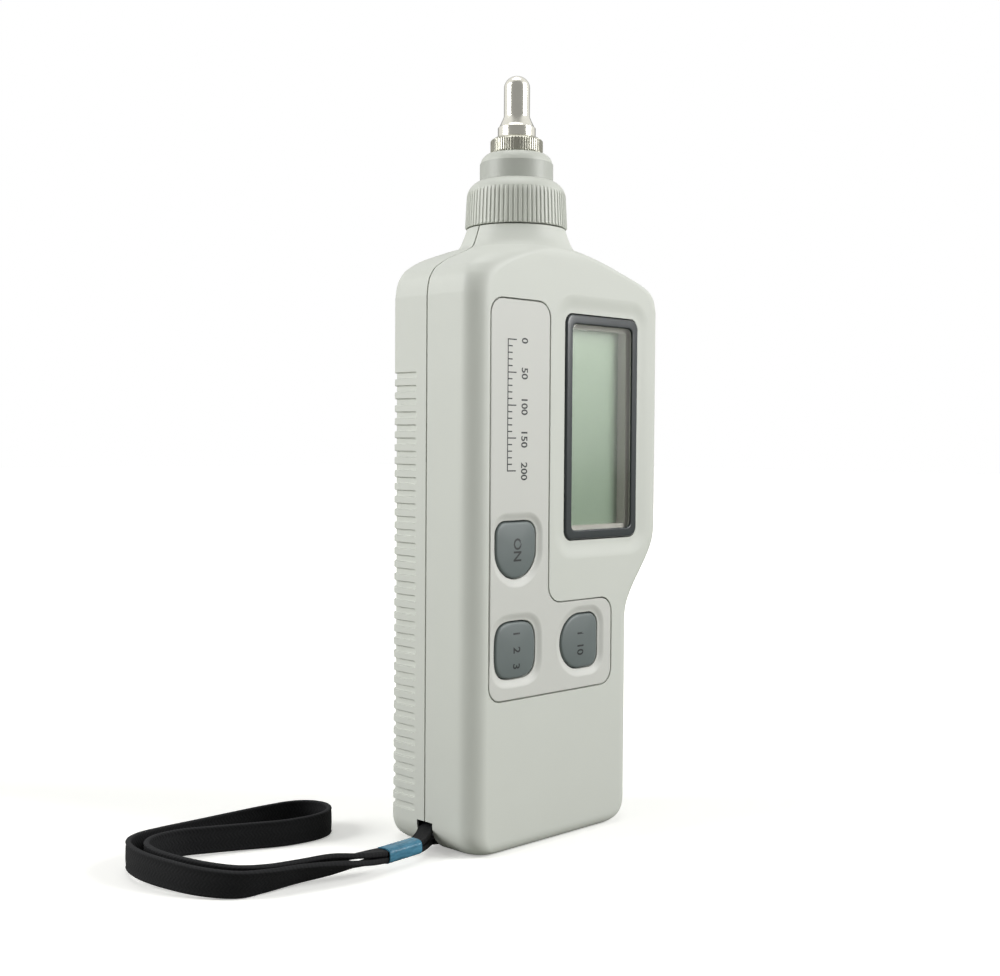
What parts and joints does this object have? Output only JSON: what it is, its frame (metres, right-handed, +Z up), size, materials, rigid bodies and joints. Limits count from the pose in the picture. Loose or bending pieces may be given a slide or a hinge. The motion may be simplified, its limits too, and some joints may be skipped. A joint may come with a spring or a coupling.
{
  "type": "handheld vibration meter",
  "caption": "Flat handheld meter with a stepped grip, side display, key panel, ribbed neck collar, metal measuring tip and wrist strap.",
  "frame": {"origin": "middle of the base on the surface that the meter stands on", "axes": "+Z up towards the measuring tip, -Y towards the display and keys, +X to the right as seen from the display side"},
  "size_m": [0.1285, 0.0545, 0.1832],
  "materials": {
    "case": "fine matt texture",
    "panel": "smooth satin",
    "bezel": "gloss",
    "lens": "clear acrylic",
    "display": "grey-green liquid crystal cell",
    "holder": "white moulded",
    "strips": "conductive silicone",
    "board": "solder mask",
    "screw": "zinc plated",
    "switch": "matt",
    "key": "satin",
    "plunger": "matt",
    "chip": "matt",
    "component": "satin",
    "battery": "satin",
    "snap": "matt",
    "wire": "insulation",
    "foam": "foam",
    "collar": "satin",
    "washer": "nylon",
    "sensor_metal": "turned",
    "ceramic": "fired",
    "mass": "turned",
    "nickel": "polished nickel",
    "braid": "woven braid",
    "film": "clear tinted film"
  },
  "bodies": {
    "meter": {"front_shell": "case", "rear_shell": "case", "key_panel": "panel", "display_bezel": "bezel", "display_lens": "lens", "lcd_glass": "display", "lcd_holder": "holder", "contact_strips": "strips", "main_board": "board", "board_screws": "screw", "case_screws": "screw", "tact_switches": "switch", "signal_chip": "chip", "board_parts": "component", "battery": "battery", "battery_snap": "snap", "battery_leads": "wire", "sensor_sleeve": "collar", "sensor_cap": "collar", "sensor_base": "sensor_metal", "sensor_lid": "sensor_metal", "piezo_discs": "ceramic", "seismic_mass": "mass", "preload_bolt": "screw", "sensor_lead": "snap", "strap_bar": "screw", "strap_anchor": "braid", "strap_sleeve": "film", "wrist_strap": "braid"},
    "cover": {"battery_cover": "case", "battery_pad": "foam"},
    "measure_key": {"measure_button": "key", "measure_plunger": "plunger"},
    "mode_key": {"mode_button": "key", "mode_plunger": "plunger"},
    "range_key": {"range_button": "key", "range_plunger": "plunger"},
    "washer": {"collar_washer": "washer"},
    "collar": {"neck_collar": "collar"},
    "probe": {"probe_tip": "nickel"},
    "ring": {"probe_ring": "nickel"}
  },
  "joints": [
    {"name": "measure_press", "type": "slide", "parent": "meter", "child": "measure_key", "axis": [0, 1, 0], "range_m": [0, 0.0005], "stiffness_N_per_m": 3000, "springref_m": -0.0002},
    {"name": "mode_press", "type": "slide", "parent": "meter", "child": "mode_key", "axis": [0, 1, 0], "range_m": [0, 0.0005], "stiffness_N_per_m": 3000, "springref_m": -0.0002},
    {"name": "range_press", "type": "slide", "parent": "meter", "child": "range_key", "axis": [0, 1, 0], "range_m": [0, 0.0005], "stiffness_N_per_m": 3000, "springref_m": -0.0002},
    {"name": "cover_slide", "type": "slide", "parent": "meter", "child": "cover", "axis": [0, 0, -1], "range_m": [0, 0.056]},
    {"name": "washer_lift", "type": "slide", "parent": "meter", "child": "washer", "axis": [0, 0, 1], "range_m": [0, 0.001]},
    {"name": "collar_turn", "type": "hinge", "parent": "washer", "child": "collar", "pos_m": [-0.0052, 0, 0.15], "axis": [0, 0, 1], "range_deg": [0, 360]},
    {"name": "probe_lift", "type": "slide", "parent": "meter", "child": "probe", "axis": [0, 0, 1], "range_m": [0, 0.0008]},
    {"name": "ring_turn", "type": "hinge", "parent": "probe", "child": "ring", "pos_m": [-0.0052, 0, 0.166], "axis": [0, 0, 1], "range_deg": [0, 360]}
  ],
  "couplings": [
    {"joint": "washer_lift", "follows": "collar_turn", "m_per_rad": 0.000159},
    {"joint": "probe_lift", "follows": "ring_turn", "m_per_rad": 0.000127}
  ]
}
